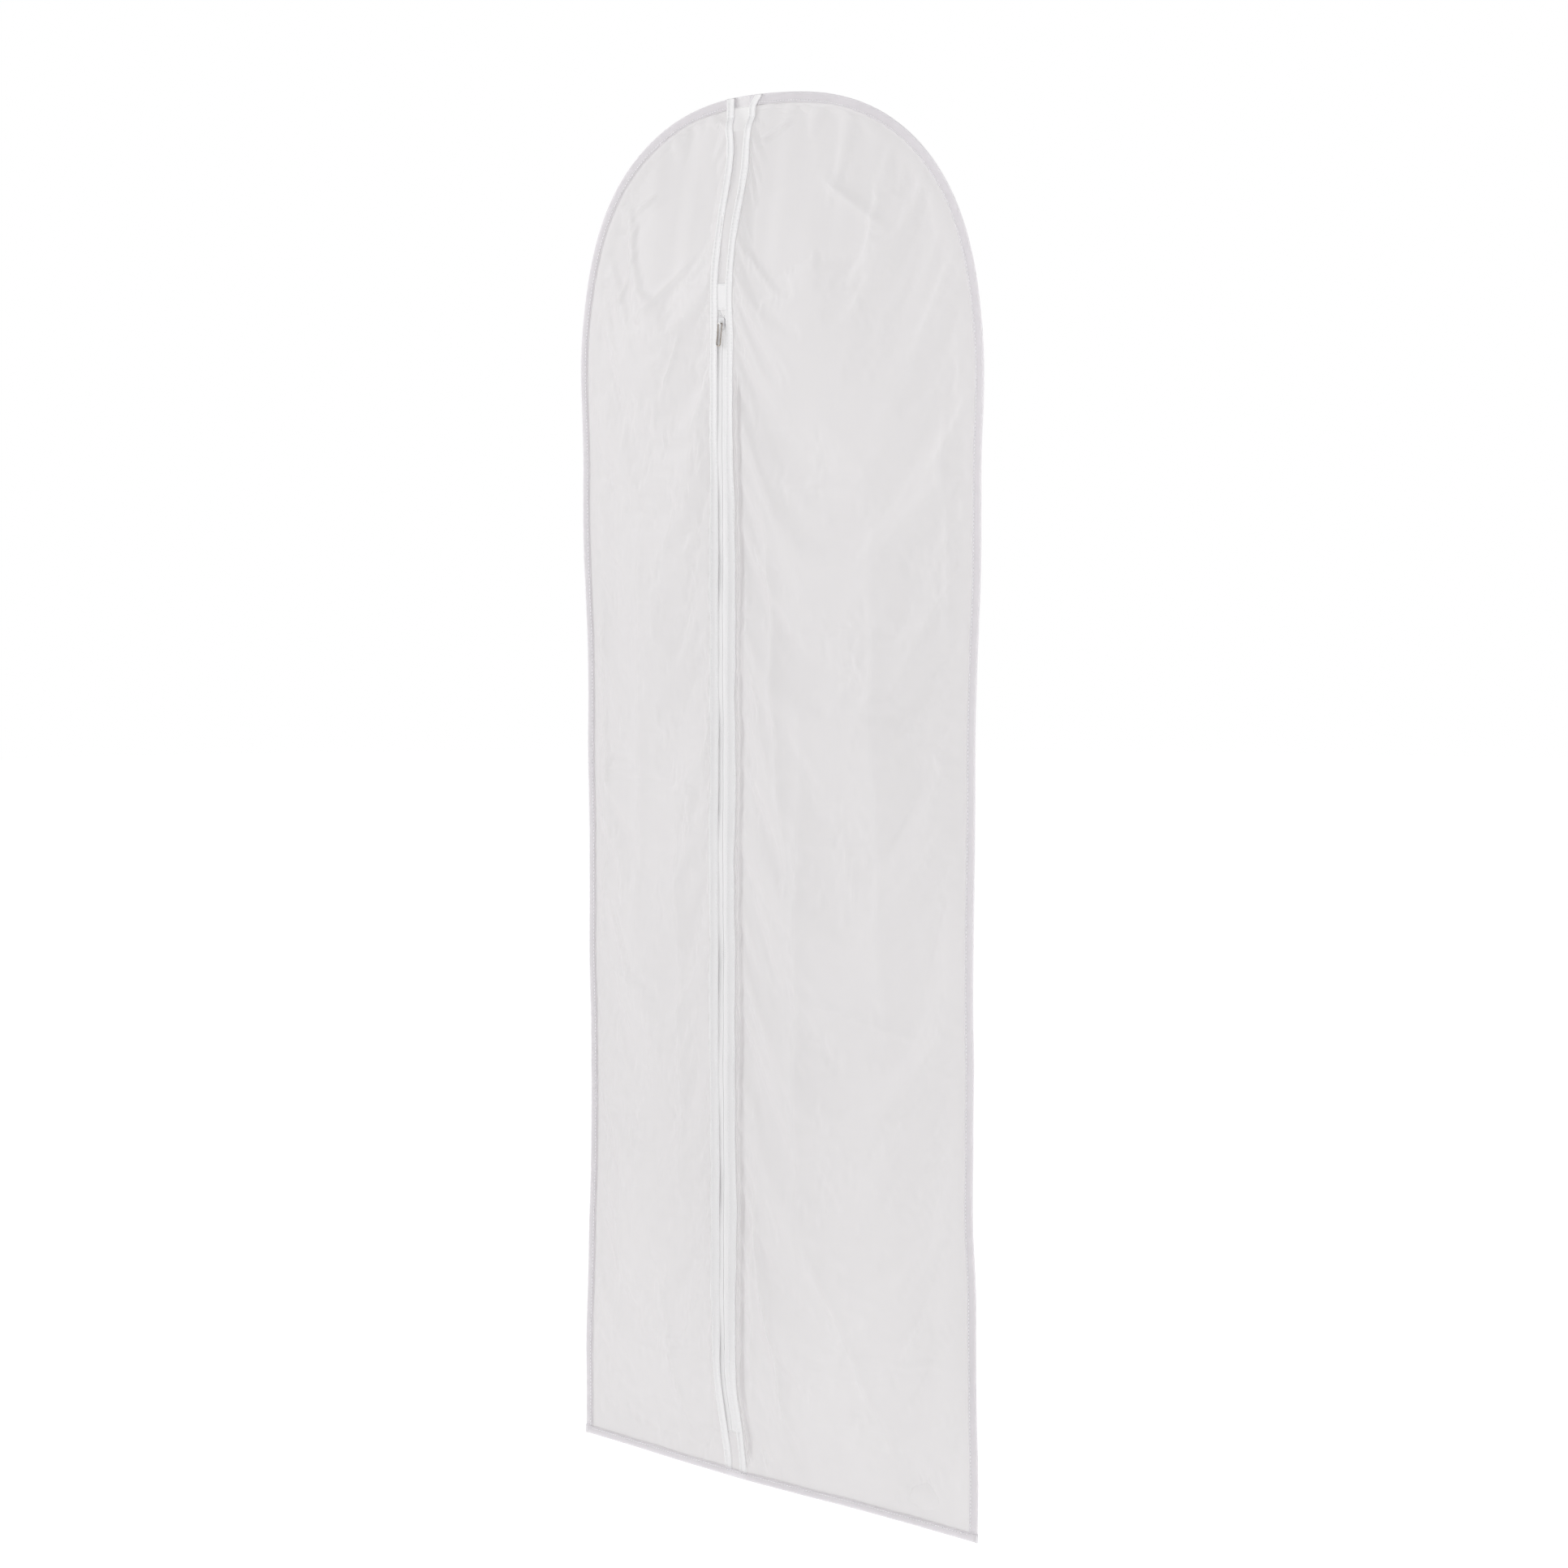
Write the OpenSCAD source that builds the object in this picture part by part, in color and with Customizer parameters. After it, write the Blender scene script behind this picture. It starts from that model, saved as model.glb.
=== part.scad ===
// A long hanging garment bag: an arched two-panel envelope of frosted film, with a
// ribbon-edged slot down its front that holds a coil zip and, above it, the hook opening.
// The zip line lies in the YZ plane, the front faces -Y and the bag hangs from z = 0.

/* [Bag] */
// Width of the bag, lying flat
bag_w = 610; // [560:5:660]
// Height from the top of the arch to the bottom edge
bag_h = 1524; // [1500:1:1700]
// Height of the arched top
arch_h = 310; // [280:5:340]
// Squareness of the arch: 2 is an ellipse, more is squarer
arch_power = 2.45; // [2:0.05:2.8]
// How far the zip line lies to the left of the bag's middle
zip_offset = 48; // [0:1:60]
// Thickness of the film
film_t = 0.8; // [0.4:0.1:1]

/* [Fullness] */
// How far the zip line stands in front of the side seams
zip_depth = 28; // [20:1:40]
// How far the hook opening's lip stands in front of the top seam
lip_depth = 12; // [8:1:16]
// How far the back panel bellies out behind the side seams
back_depth = 26; // [15:1:40]
// How much more the front panels swell out on each side of the zip
panel_swell = 7; // [0:1:12]

/* [Binding] */
// Width of the folded binding along the arch and the sides
bind_w = 11; // [8:0.5:14]
// Thickness of one layer of binding
bind_t = 0.6; // [0.4:0.1:1]
// Height of the folded hem band
hem_h = 9.5; // [7:0.5:14]

/* [Slot] */
// Width of each slot ribbon
ribbon_w = 10.5; // [8:0.5:14]
// How far each ribbon stands proud of the film
ribbon_t = 0.6; // [0.4:0.1:1]
// Width between the ribbons along the slot
slot_w = 13; // [13:0.5:18]
// Width between the ribbons at the top of the hook opening
opening_w = 22; // [18:1:28]
// Height of the hook opening
opening_h = 37; // [30:1:60]

/* [Zip] */
// Depth of the upper window's lower edge, below the top edge
patch_top = 200; // [150:5:220]
// Height of the patch sewn across the top of the zip
patch_h = 29; // [20:1:35]
// Depth of the pull loop's pivot when the zip is closed, below the top edge
pivot_drop = 243; // [242:1:260]
// Depth of the lower end of the chain, below the top edge
chain_end = 1374; // [1200:1:1380]
// Depth of the lower end of the zip tape, below the top edge
tape_end = 1469; // [1420:1:1480]
// Thickness of the zip tape
tape_t = 0.6; // [0.4:0.1:0.8]
// Width of the closed coil
coil_w = 6.2; // [5:0.1:7]
// Thickness of the coil behind the tape
coil_t = 2.2; // [1.8:0.1:2.6]

/* [Slider] */
// Width of the slider
slider_w = 9.2; // [8.6:0.1:10]
// Length of the slider
slider_h = 12; // [10:0.5:14]
// Thickness of the slider's plates
plate_t = 1.3; // [1:0.1:1.6]
// Length of the pull loop
loop_l = 25.4; // [20:0.1:32]
// Width of the pull loop
loop_w = 7; // [6:0.1:8.5]
// Diameter of the loop's wire
wire_d = 1.2; // [1:0.1:1.4]

/* [Hidden] */

film_color = [0.88, 0.86, 0.88, 0.6];
ribbon_color = [0.96, 0.96, 0.97];
tape_color = [0.93, 0.93, 0.94];
thread_color = [0.98, 0.98, 0.98];
wire_color = [0.74, 0.70, 0.64];

half_w = bag_w / 2;
middle_x = zip_offset;

// How far the arch's edge lies below its apex, dx away from the bag's middle
function arch_drop(dx) =
    arch_h * (1 - pow(1 - pow(abs(dx) / half_w, arch_power), 1 / arch_power));

// The top edge lies at z = 0 where the zip line meets it
apex_z = arch_drop(zip_offset);
spring_z = apex_z - arch_h;
hem_z = apex_z - bag_h;
hem_top_z = hem_z + hem_h;

// The film stops this far inside the binding's outer edge
film_inset = bind_t + 0.3;
// The film starts to belly out this far inside that edge
fold_inset = bind_w + 0.5;

// Half the gap down the middle of the zip, which the slider's post runs in
zip_gap = 0.65;
// How far each tape half stands from the middle under the patch
parted_gap = 4.2;
// How far each tape half reaches sideways behind its ribbon
tape_reach = 15;
// Running clearance between the slider and what it slides on
run_gap = 0.3;

slider_top_z = slider_h / 2 - pivot_drop;
patch_low_z = -patch_top - patch_h;
tape_top_z = -patch_top - patch_h / 2;
// The zip line is straight between these two heights
straight_top_z = -patch_top - 18;
straight_low_z = -chain_end - 11;

// Thread thickness, and how far a seam runs inside the edge that it holds
thread_t = 0.3;
thread_w = 0.5;
seam_inset = 2.2;

// Front and back faces of the zip's layers, from the front to the back
tape_front_y = -zip_depth;
coil_front_y = tape_front_y + tape_t;
coil_back_y = coil_front_y + coil_t;
plate_front_y = tape_front_y - run_gap - plate_t;
plate_back_y = coil_back_y + run_gap;
pivot_y = plate_front_y - 1.4;

function smooth(t) = let (c = min(max(t, 0), 1)) c * c * (3 - 2 * c);
function signed_pow(v, e) = sign(v) * pow(abs(v), e);

// A point [x, z] on the arch, inset from its outer edge. a runs from 0 at the right
// spring over 90 at the apex to 180 at the left spring.
function arch_point(a, inset) = [
    middle_x + (half_w - inset) * signed_pow(cos(a), 2 / arch_power),
    spring_z + (arch_h - inset) * pow(max(sin(a), 0), 2 / arch_power)
];
function arch_angle(x, inset) =
    acos(signed_pow((x - middle_x) / (half_w - inset), arch_power / 2));

slot_top_x = opening_w / 2 + ribbon_w;
slot_top_z = arch_point(arch_angle(-slot_top_x, fold_inset), fold_inset)[1];

// How far the slot stands in front of the side seams at height z
function slot_curve(z) =
    z > -opening_h
    ? lip_depth * smooth((slot_top_z - z) / (slot_top_z + opening_h))
    : z > straight_top_z
    ? lip_depth
        + (zip_depth - lip_depth) * smooth((-opening_h - z) / (-opening_h - straight_top_z))
    : zip_depth * smooth((z - hem_top_z) / (straight_low_z - hem_top_z));

// How far the ribbons' inner edges stand from the zip line at height z
function gap_curve(z) =
    (slot_w + (opening_w - slot_w) * smooth((z + 1.6 * opening_h) / (1.2 * opening_h))) / 2;

// How far the middle of the back stands behind the side seams at height z
function belly_depth(z) =
    back_depth * smooth((apex_z - fold_inset - z) / 180) * smooth((z - hem_top_z) / 260);

// How much a front panel swells beside the zip at height z
function swell(z) =
    panel_swell * smooth((slot_top_z - z) / 260) * smooth((z - hem_top_z) / 300);

// How a panel comes forward across its width, from 0 at the binding to 1 at its middle
function rise(t) = 1 - pow(1 - t, 2.2);

// Heights of the rows of points, from the bottom up. The last row is the slot's top.
function spaced(low, high, n) = [for (i = [0 : n - 1]) low + (high - low) * i / n];
low_rows = concat(
    [hem_z + film_inset],
    spaced(hem_top_z, -tape_end, 3),
    spaced(-tape_end, straight_low_z, 4),
    spaced(straight_low_z, spring_z, 9),
    [spring_z]
);
arch_steps = 18;
arch_rows = [for (i = [1 : arch_steps]) spring_z + (slot_top_z - spring_z) * i / arch_steps];
slot_rows = concat(low_rows, arch_rows);
across_steps = 12;

// The slot's two curves, straight between one row and the next, so that the film, the
// ribbons and the tape lie face to face
depth_table = [for (z = slot_rows) [z, slot_curve(z)]];
gap_table = [for (z = slot_rows) [z, gap_curve(z)]];
function slot_depth(z) = lookup(z, depth_table);
function ribbon_in(z) = lookup(z, gap_table);
function ribbon_out(z) = ribbon_in(z) + ribbon_w;

// The rows from the first of some rising heights to the last, those heights among them
function rows_through(stops) = concat(
    [for (i = [0 : len(stops) - 2])
        each concat(
            [stops[i]],
            [for (z = slot_rows) if (z > stops[i] + 0.5 && z < stops[i + 1] - 0.5) z]
        )],
    [stops[len(stops) - 1]]
);

// One row of a panel: the film's edge, then the steps from the fold across to the inner
// edge. Each point is [x, z, depth].
function panel_row(edge, fold, end_x, end_z, depth, extra) = concat(
    [[edge[0], edge[1], 0]],
    [for (i = [0 : across_steps]) let (t = i / across_steps) [
        fold[0] + (end_x - fold[0]) * t,
        fold[1] + (end_z - fold[1]) * t,
        depth * rise(t) + extra * 4 * t * (1 - t)
    ]]
);

// Rows of half a panel, side 1 for the right half and -1 for the left. end_x(z) is its
// inner edge, top_x where that meets the arch, depth(z) and extra(z) its fullness.
function half_rows(side, top_x, end_x, depth, extra) = concat(
    [for (z = low_rows) panel_row(
        [middle_x + side * (half_w - film_inset), z],
        [middle_x + side * (half_w - fold_inset), z],
        end_x(z), z, depth(z), extra(z)
    )],
    [for (i = [1 : arch_steps])
        let (
            t = i / arch_steps,
            start = side > 0 ? 0 : 180,
            edge_a = start + (arch_angle(top_x, film_inset) - start) * t,
            fold_a = start + (arch_angle(top_x, fold_inset) - start) * t,
            z = arch_rows[i - 1]
        )
        panel_row(
            arch_point(edge_a, film_inset), arch_point(fold_a, fold_inset),
            end_x(z), z, depth(z), extra(z)
        )]
);

// A sheet of film through rows of [x, z, depth] points. facing is -1 towards the front and
// 1 towards the back, and heading is the way a row runs along X. Of the last row only two
// points count: the film's edge and the fold. A whole sheet has an edge at both ends of
// each row, and half a sheet only at the first.
module film_sheet(rows, facing, heading, whole) {
    n = len(rows) - 1;
    m = len(rows[0]);
    layer = concat([for (k = [0 : n - 1]) each rows[k]], [rows[n][0], rows[n][1]]);
    count = len(layer);
    edge_tip = n * m;
    fold_tip = n * m + 1;
    last = (n - 1) * m;
    points = [
        for (lift = [0, film_t]) for (p = layer) [p[0], facing * (p[2] + lift), p[1]]
    ];
    cells = [for (k = [0 : n - 2]) for (j = [0 : m - 2])
        let (a = k * m + j, b = a + m)
        each [[a, a + 1, b + 1], [a, b + 1, b]]];
    top_cells = concat(
        [[last, last + 1, fold_tip], [last, fold_tip, edge_tip]],
        [for (j = [1 : m - (whole ? 3 : 2)]) [last + j, last + j + 1, fold_tip]],
        whole
        ? [[last + m - 2, last + m - 1, edge_tip], [last + m - 2, edge_tip, fold_tip]]
        : []
    );
    inner = concat(cells, top_cells);
    rim = concat(
        [for (j = [0 : m - 1]) j],
        [for (k = [1 : n - 1]) k * m + m - 1],
        whole ? [edge_tip] : [fold_tip, edge_tip],
        [for (k = [n - 1 : -1 : 1]) k * m]
    );
    walls = [for (i = [0 : len(rim) - 1])
        let (a = rim[i], b = rim[(i + 1) % len(rim)])
        each [[a, a + count, b + count], [a, b + count, b]]];
    outer = [for (f = inner) [f[0] + count, f[2] + count, f[1] + count]];
    faces = concat(inner, outer, walls);
    polyhedron(
        points,
        facing * heading > 0 ? [for (f = faces) [f[2], f[1], f[0]]] : faces
    );
}

// A strip along the slot through some heights, from left(z) to right(z) across. Its front
// lies proud in front of the slot's inner face and its back lies sunk behind that face.
module slot_strip(heights, left, right, proud, sunk) {
    n = len(heights);
    points = [for (z = heights) let (y = -slot_depth(z)) each [
        [left(z), y - proud, z], [right(z), y - proud, z],
        [right(z), y + sunk, z], [left(z), y + sunk, z]
    ]];
    faces = concat(
        [[0, 1, 2, 3]],
        [for (k = [0 : n - 2]) for (i = [0 : 3])
            let (a = 4 * k + i, b = 4 * k + (i + 1) % 4)
            each [[a, a + 4, b + 4], [a, b + 4, b]]],
        [[for (i = [3 : -1 : 0]) 4 * (n - 1) + i]]
    );
    polyhedron(points, faces);
}

// An outline in X and Z made into a plate from y_front to y_back
module plate(y_front, y_back) {
    translate([0, y_back, 0]) rotate([90, 0, 0]) linear_extrude(y_back - y_front) children();
}

// The band between two insets along the sides and the arch
function outline(inset) = concat(
    [[middle_x + half_w - inset, hem_top_z]],
    [for (a = [0 : 3 : 180]) arch_point(a, inset)],
    [[middle_x - half_w + inset, hem_top_z]]
);
module edge_band(outer_inset, inner_inset) {
    inner = outline(inner_inset);
    polygon(concat(outline(outer_inset), [for (i = [len(inner) - 1 : -1 : 0]) inner[i]]));
}

// What is left out of the front of the top edge, at the hook opening
module opening_cut() {
    translate([-opening_w / 2, -bag_w, -bind_w - 5]) cube([opening_w, bag_w, 30]);
}

// A rectangle w by h about its middle, with corners of radius r
module rounded_rect(w, h, r) {
    square([w - 2 * r, h], center = true);
    square([w, h - 2 * r], center = true);
    for (x = [r - w / 2, w / 2 - r]) for (y = [r - h / 2, h / 2 - r])
        translate([x, y]) circle(r, $fn = 24);
}

module back_panel() {
    left = half_rows(
        -1, middle_x, function(z) middle_x, function(z) belly_depth(z), function(z) 0
    );
    right = half_rows(
        1, middle_x, function(z) middle_x, function(z) belly_depth(z), function(z) 0
    );
    rows = [for (k = [0 : len(left) - 1])
        concat(left[k], [for (j = [len(right[k]) - 2 : -1 : 0]) right[k][j]])];
    color(film_color) film_sheet(rows, 1, 1, true);
}

module front_panel(side) {
    rows = half_rows(
        side, side * slot_top_x, function(z) side * ribbon_out(z),
        function(z) slot_depth(z), function(z) swell(z)
    );
    color(film_color) film_sheet(rows, -1, -side, false);
}

module window_strip(low_z, high_z) {
    color(film_color) slot_strip(
        rows_through([low_z, high_z]),
        function(z) -ribbon_in(z), function(z) ribbon_in(z), film_t, 0
    );
}

module slot_ribbon(side) {
    color(ribbon_color) slot_strip(
        rows_through([hem_top_z, slot_top_z]),
        function(z) side > 0 ? ribbon_in(z) : -ribbon_out(z),
        function(z) side > 0 ? ribbon_out(z) : -ribbon_in(z),
        film_t + ribbon_t, 0
    );
}

module ribbon_thread(side) {
    color(thread_color) for (x = [seam_inset, ribbon_w - seam_inset]) slot_strip(
        rows_through([hem_top_z, slot_top_z]),
        function(z) side * (ribbon_in(z) + x) - thread_w / 2,
        function(z) side * (ribbon_in(z) + x) + thread_w / 2,
        film_t + ribbon_t + thread_t, -film_t - ribbon_t
    );
}

module edge_binding() {
    face = film_t + bind_t;
    color(film_color) difference() {
        union() {
            plate(-face, face) edge_band(0, bind_t);
            plate(-face, -film_t) edge_band(0, bind_w);
            plate(film_t, face) edge_band(0, bind_w);
        }
        opening_cut();
    }
}

module edge_thread() {
    face = film_t + bind_t;
    inset = bind_w - seam_inset;
    color(thread_color) difference() {
        plate(-face - thread_t, -face) edge_band(inset, inset + thread_w);
        opening_cut();
    }
}

module hem_binding() {
    face = film_t + bind_t;
    color(film_color) translate([middle_x - half_w, 0, hem_z]) {
        translate([0, -face, 0]) cube([bag_w, 2 * face, bind_t]);
        translate([0, -face, 0]) cube([bag_w, bind_t, hem_h]);
        translate([0, film_t, 0]) cube([bag_w, bind_t, hem_h]);
    }
}

module hem_thread() {
    face = film_t + bind_t;
    color(thread_color)
        translate([middle_x - half_w + bind_w, -face - thread_t, hem_top_z - seam_inset])
            cube([bag_w - 2 * bind_w, thread_t, thread_w]);
}

// The tape halves part above the slider
function tape_in(z) = zip_gap
    + (parted_gap - zip_gap) * smooth((z - slider_top_z) / (patch_low_z - slider_top_z));

module zip_tape(side) {
    color(tape_color) slot_strip(
        rows_through([-tape_end, slider_top_z, patch_low_z - 4, patch_low_z, tape_top_z]),
        function(z) side > 0 ? tape_in(z) : -tape_reach,
        function(z) side > 0 ? tape_reach : -tape_in(z),
        0, tape_t
    );
}

module zip_coil(side) {
    r = coil_t / 2;
    color(tape_color) mirror([side > 0 ? 0 : 1, 0, 0])
        translate([0, 0, -chain_end]) linear_extrude(chain_end + slider_top_z) {
            translate([zip_gap, coil_front_y]) square([coil_w / 2 - r - zip_gap, coil_t]);
            translate([coil_w / 2 - r, coil_front_y + r]) circle(r, $fn = 24);
        }
}

module zip_top_patch() {
    color(ribbon_color) slot_strip(
        rows_through([patch_low_z, -patch_top]),
        function(z) -ribbon_in(z), function(z) ribbon_in(z), film_t, 0
    );
}

module patch_thread() {
    color(thread_color) for (z = [patch_low_z + seam_inset, -patch_top - seam_inset])
        slot_strip(
            [z - thread_w / 2, z + thread_w / 2],
            function(z) -ribbon_in(z), function(z) ribbon_in(z),
            film_t + thread_t, -film_t
        );
}

// The two stops stand on the tape just above the slider
module zip_top_stops() {
    stop = [2.4, 1.8, 3.2];
    color(tape_color) for (side = [-1, 1])
        translate([side * 3.4 - stop[0] / 2, coil_front_y, slider_top_z + run_gap]) cube(stop);
}

// The bottom stop bridges both halves of the chain
module zip_bottom_stop() {
    stop = [7, coil_t, 4];
    color(tape_color)
        translate([-stop[0] / 2, coil_front_y, -chain_end - stop[2]]) cube(stop);
}

module slider_body() {
    cheek_in = coil_w / 2 + 0.4;
    bail_w = 2.6;
    bail_l = 6.4;
    color(ribbon_color) difference() {
        translate([0, 0, -pivot_drop]) union() {
            plate(plate_front_y, plate_front_y + plate_t) rounded_rect(slider_w, slider_h, 1.6);
            plate(plate_back_y, plate_back_y + plate_t) rounded_rect(slider_w, slider_h, 1.6);
            for (side = [-1, 1])
                translate([
                    side * (cheek_in + slider_w / 2) / 2 - (slider_w / 2 - cheek_in) / 2,
                    coil_front_y + run_gap,
                    -slider_h / 2 + 1.6
                ])
                    cube([
                        slider_w / 2 - cheek_in,
                        plate_back_y - coil_front_y - run_gap + 0.1,
                        slider_h - 3.2
                    ]);
            // the post between the two halves of the chain
            translate([run_gap - zip_gap, plate_front_y + plate_t / 2, slider_h / 2 - 4.6])
                cube([
                    2 * (zip_gap - run_gap),
                    plate_back_y - plate_front_y,
                    4
                ]);
            // the bail that the pull hangs from
            translate([-bail_w / 2, 0, 0]) rotate([90, 0, 90]) linear_extrude(bail_w) {
                translate([pivot_y, 0]) circle(1.5, $fn = 32);
                translate([pivot_y, -1.5]) square([plate_front_y + 0.2 - pivot_y, 3]);
                translate([plate_front_y - 0.6, -bail_l / 2]) square([0.8, bail_l]);
            }
        }
        translate([-slider_w, pivot_y, -pivot_drop]) rotate([0, 90, 0])
            cylinder(h = 2 * slider_w, r = wire_d / 2 + 0.05, $fn = 48);
    }
}

// A round-ended wire loop, hanging from its straight top bar
module pull_loop() {
    r = wire_d / 2;
    foot_r = loop_w / 2 - r;
    top_r = 1.3;
    leg = loop_l - wire_d - foot_r - top_r;
    color(wire_color) translate([0, pivot_y, -pivot_drop]) rotate([90, 0, 0]) {
        rotate([0, 90, 0]) cylinder(h = 2 * (foot_r - top_r), r = r, center = true, $fn = 32);
        for (side = [-1, 1]) mirror([side > 0 ? 0 : 1, 0, 0]) {
            translate([foot_r - top_r, -top_r, 0])
                rotate_extrude(angle = 90, $fn = 48) translate([top_r, 0]) circle(r, $fn = 32);
            translate([foot_r, -top_r, 0]) rotate([90, 0, 0]) cylinder(h = leg, r = r, $fn = 32);
        }
        translate([0, -top_r - leg, 0]) rotate([0, 0, 180])
            rotate_extrude(angle = 180, $fn = 64) translate([foot_r, 0]) circle(r, $fn = 32);
    }
}

back_panel();
front_panel(-1);  // front_panel_left
front_panel(1);  // front_panel_right
window_strip(-patch_top, -opening_h);  // upper_window_strip
window_strip(hem_top_z, -tape_end);  // lower_window_strip
slot_ribbon(-1);  // slot_ribbon_left
slot_ribbon(1);  // slot_ribbon_right
edge_binding();
hem_binding();
zip_tape(-1);  // zip_tape_left
zip_tape(1);  // zip_tape_right
zip_coil(-1);  // zip_coil_left
zip_coil(1);  // zip_coil_right
zip_top_patch();
zip_top_stops();
zip_bottom_stop();
edge_thread();
hem_thread();
patch_thread();
ribbon_thread(-1);  // ribbon_thread_left
ribbon_thread(1);  // ribbon_thread_right
slider_body();
pull_loop();
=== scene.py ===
"""A frosted film garment bag, hung and lightly filled, in a plain pale studio.

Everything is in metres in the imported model's frame: z = 0 is the top edge at the hook
opening, the front faces -Y and the zip line is the YZ plane.
"""

import math

import bmesh
import bpy
import numpy as np
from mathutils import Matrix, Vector, noise


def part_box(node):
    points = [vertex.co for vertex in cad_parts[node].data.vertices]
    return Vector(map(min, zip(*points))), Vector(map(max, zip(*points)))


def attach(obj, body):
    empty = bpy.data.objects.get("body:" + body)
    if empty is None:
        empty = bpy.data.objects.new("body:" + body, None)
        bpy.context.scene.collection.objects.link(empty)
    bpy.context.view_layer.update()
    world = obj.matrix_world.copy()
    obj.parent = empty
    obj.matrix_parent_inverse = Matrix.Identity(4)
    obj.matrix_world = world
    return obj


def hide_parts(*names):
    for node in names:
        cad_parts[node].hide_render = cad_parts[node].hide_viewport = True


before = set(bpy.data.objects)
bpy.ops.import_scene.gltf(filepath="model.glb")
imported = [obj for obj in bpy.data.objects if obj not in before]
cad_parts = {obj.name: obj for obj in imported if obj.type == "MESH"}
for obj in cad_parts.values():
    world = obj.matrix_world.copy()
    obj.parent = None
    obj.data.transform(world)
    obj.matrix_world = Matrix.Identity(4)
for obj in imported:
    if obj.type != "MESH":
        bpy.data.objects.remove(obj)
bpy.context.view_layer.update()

MM = 0.001

# ---------------------------------------------------------------- sizes from the frame
EDGE_LOW, EDGE_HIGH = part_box("edge_binding")
HEM_LOW, HEM_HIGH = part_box("hem_binding")
PATCH_LOW, PATCH_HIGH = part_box("zip_top_patch")
TAPE_LOW, TAPE_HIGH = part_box("zip_tape_right")
COIL_LOW, COIL_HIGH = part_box("zip_coil_right")
WINDOW_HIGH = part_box("upper_window_strip")[1]
LOOP_LOW, LOOP_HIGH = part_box("pull_loop")

HALF_W = (EDGE_HIGH.x - EDGE_LOW.x) / 2
MIDDLE_X = (EDGE_HIGH.x + EDGE_LOW.x) / 2
APEX_Z = EDGE_HIGH.z
HEM_Z = HEM_LOW.z
HEM_TOP_Z = HEM_HIGH.z

# The arch is a superellipse
ARCH_H = 310 * MM
ARCH_POWER = 2.45
SPRING_Z = APEX_Z - ARCH_H

# The folded binding: its width, half its thickness and its film's thickness
BIND_W = 11 * MM
BIND_FACE = 1.4 * MM
BIND_FILM = 0.6 * MM
# The film starts to belly out this far inside the bag's edge
FOLD_INSET = BIND_W + 0.5 * MM
# A seam runs this far inside the edge that it holds
SEAM_INSET = 2.2 * MM
# A binding's stitches stand this far from the seams' plane
STITCH_Y = 1.45 * MM

RIBBON_W = 10.5 * MM
SLOT_W = PATCH_HIGH.x - PATCH_LOW.x
OPENING_W = 22 * MM
OPENING_H = -WINDOW_HIGH.z
# The slot leans to the right at its top, and the right ribbon flares further
TOP_LEAN = 4 * MM
TOP_FLARE = 10 * MM
# How far the slot stands forward at the hook opening and along the zip
LIP_DEPTH = 6 * MM
ZIP_DEPTH = -TAPE_LOW.y
# How far the back stands behind the seams, and a front panel swells beside the zip
BACK_DEPTH = 26 * MM
PANEL_SWELL = 6 * MM
# How steeply the ribbons turn out of the front's plane at mid-height
SLOT_TURN = 0.28
# The sides are drawn in by this share, the seams waver and the foot of the slot bows
DRAW_IN = 0.030
SEAM_WAVER = 3.0 * MM
FOOT_BOW = 9 * MM

# Heights along the slot, which is straight between the first two
STRAIGHT_TOP_Z = PATCH_HIGH.z - 18 * MM
STRAIGHT_LOW_Z = COIL_LOW.z - 11 * MM
TAPE_END_Z = TAPE_LOW.z
CHAIN_END_Z = COIL_LOW.z
CHAIN_TOP_Z = COIL_HIGH.z


# ---------------------------------------------------------------- the bag's shape
def smooth(t):
    """A soft step from 0 to 1 as t goes from 0 to 1."""
    c = np.clip(t, 0, 1)
    return c * c * (3 - 2 * c)


def signed_power(v, e):
    """A power that keeps the sign of v."""
    return np.sign(v) * np.abs(v) ** e


def arch_point(a, inset):
    """Points (x, z) on the arch at angles a, 0 at the right spring and 180 at the left."""
    c, s = np.cos(np.radians(a)), np.sin(np.radians(a))
    x = MIDDLE_X + (HALF_W - inset) * signed_power(c, 2 / ARCH_POWER)
    z = SPRING_Z + (ARCH_H - inset) * np.maximum(s, 0) ** (2 / ARCH_POWER)
    return x, z


def arch_angle(x, inset):
    """The angle of the arch's point at x, the other way round from arch_point."""
    u = (x - MIDDLE_X) / (HALF_W - inset)
    return math.degrees(math.acos(signed_power(u, ARCH_POWER / 2)))


SLOT_TOP_X = OPENING_W / 2 + RIBBON_W
SLOT_TOP_Z = float(arch_point(arch_angle(-SLOT_TOP_X, FOLD_INSET), FOLD_INSET)[1])


def slot_depth(z):
    """How far the slot stands in front of the side seams."""
    z = np.asarray(z, float)
    lip = LIP_DEPTH * smooth((SLOT_TOP_Z - z) / (SLOT_TOP_Z + OPENING_H))
    neck = smooth((-OPENING_H - z) / (-OPENING_H - STRAIGHT_TOP_Z))
    upper = LIP_DEPTH + (ZIP_DEPTH - LIP_DEPTH) * neck
    lower = ZIP_DEPTH * smooth((z - HEM_TOP_Z) / (STRAIGHT_LOW_Z - HEM_TOP_Z))
    return np.where(z > -OPENING_H, lip, np.where(z > STRAIGHT_TOP_Z, upper, lower))


def belly_depth(z):
    """How far the middle of the back stands behind the side seams."""
    top = smooth((APEX_Z - FOLD_INSET - z) / (180 * MM))
    return BACK_DEPTH * top * smooth((z - HEM_TOP_Z) / (260 * MM))


def swell(z):
    """How much a front panel swells beside the zip."""
    return PANEL_SWELL * smooth((SLOT_TOP_Z - z) / 0.26) * smooth((z - HEM_TOP_Z) / 0.3)


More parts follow.
